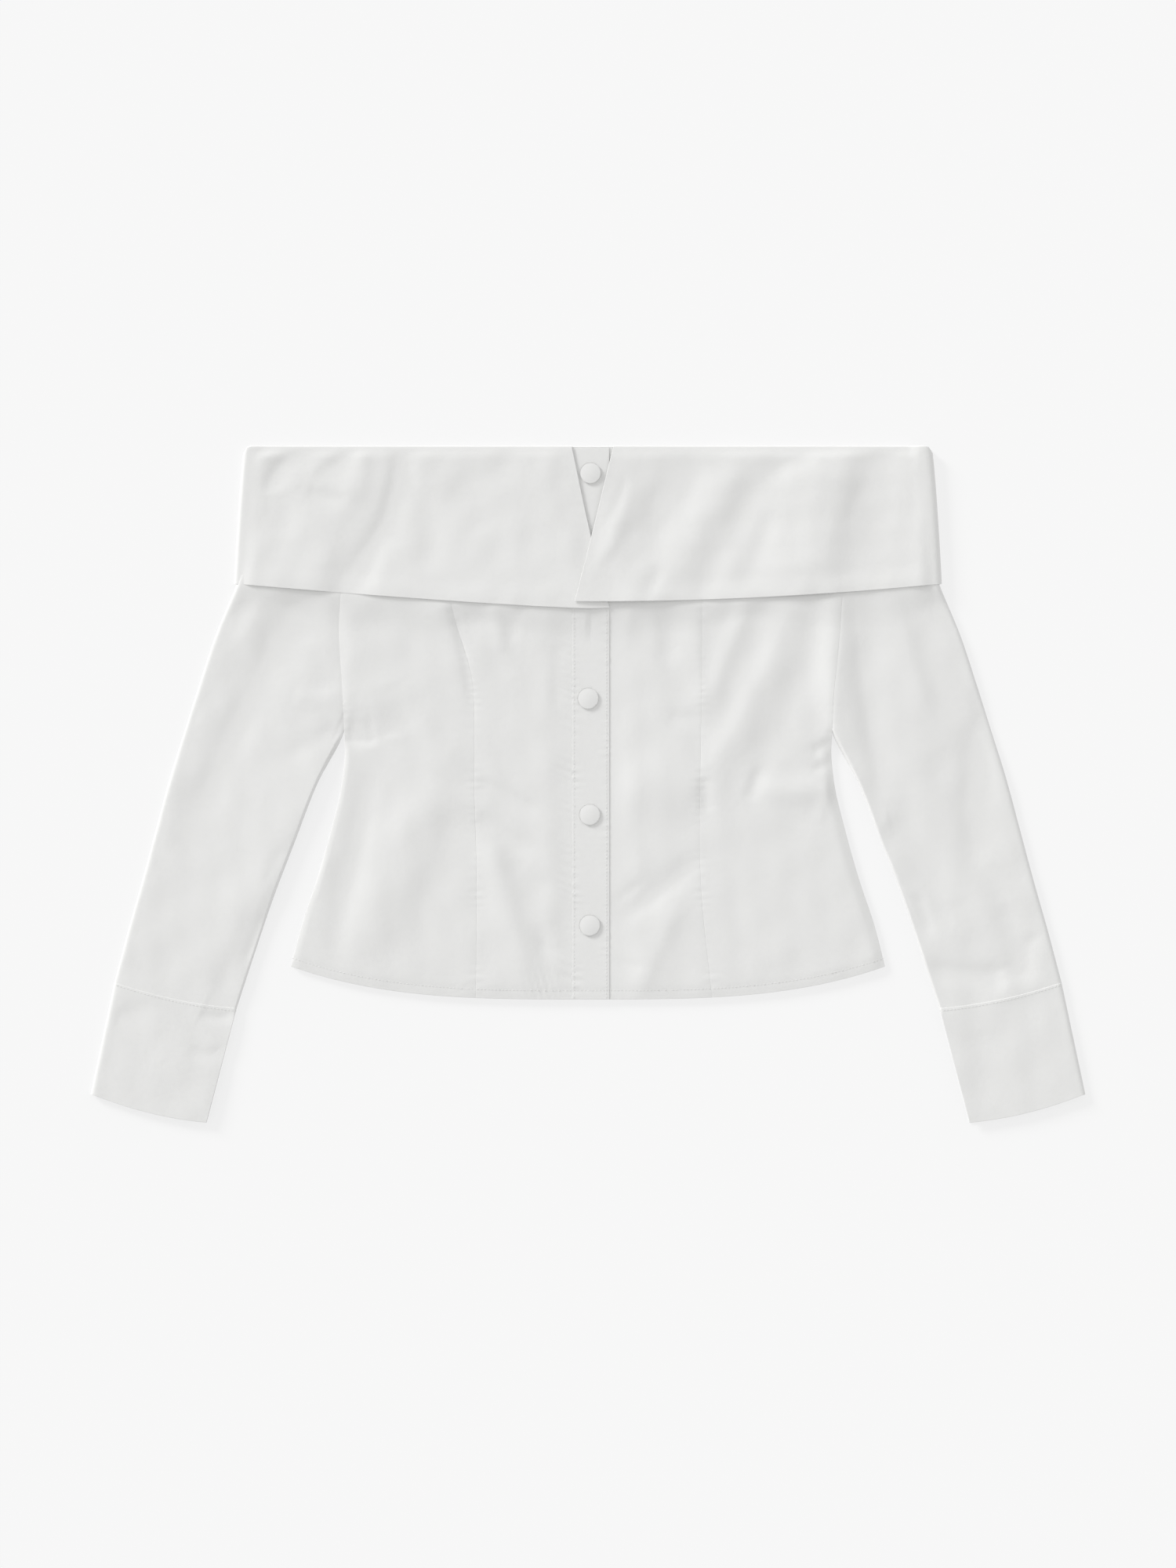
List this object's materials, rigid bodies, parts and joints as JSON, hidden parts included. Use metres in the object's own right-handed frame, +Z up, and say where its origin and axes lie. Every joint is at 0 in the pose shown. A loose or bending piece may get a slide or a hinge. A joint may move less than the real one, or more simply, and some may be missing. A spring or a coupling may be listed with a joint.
{
  "type": "off-the-shoulder blouse laid flat",
  "caption": "Long-sleeved blouse with a wide fold-over collar off the shoulders, princess-seamed front, button placket and tall cuffs, lying flat on its back.",
  "frame": {"origin": "centre of the blouse's outline on the surface it lies on", "axes": "+Y towards the neckline, +X towards the sleeve on the right as seen from above, +Z up off the surface"},
  "size_m": [0.8116, 0.5516, 0.0101],
  "materials": {
    "poplin": "crisp matt white cotton poplin",
    "covered_button": "the same poplin drawn tight over a dome"
  },
  "bodies": {
    "root": {"back": "poplin", "front_centre_left": "poplin", "front_side_left": "poplin", "front_centre_right": "poplin", "front_side_right": "poplin", "placket": "poplin", "sleeve_left": "poplin", "sleeve_right": "poplin", "cuff_left": "poplin", "cuff_right": "poplin", "collar_left": "poplin", "collar_right": "poplin", "collar_back": "poplin", "button_1": "covered_button", "button_2": "covered_button", "button_3": "covered_button", "button_4": "covered_button"}
  },
  "joints": []
}
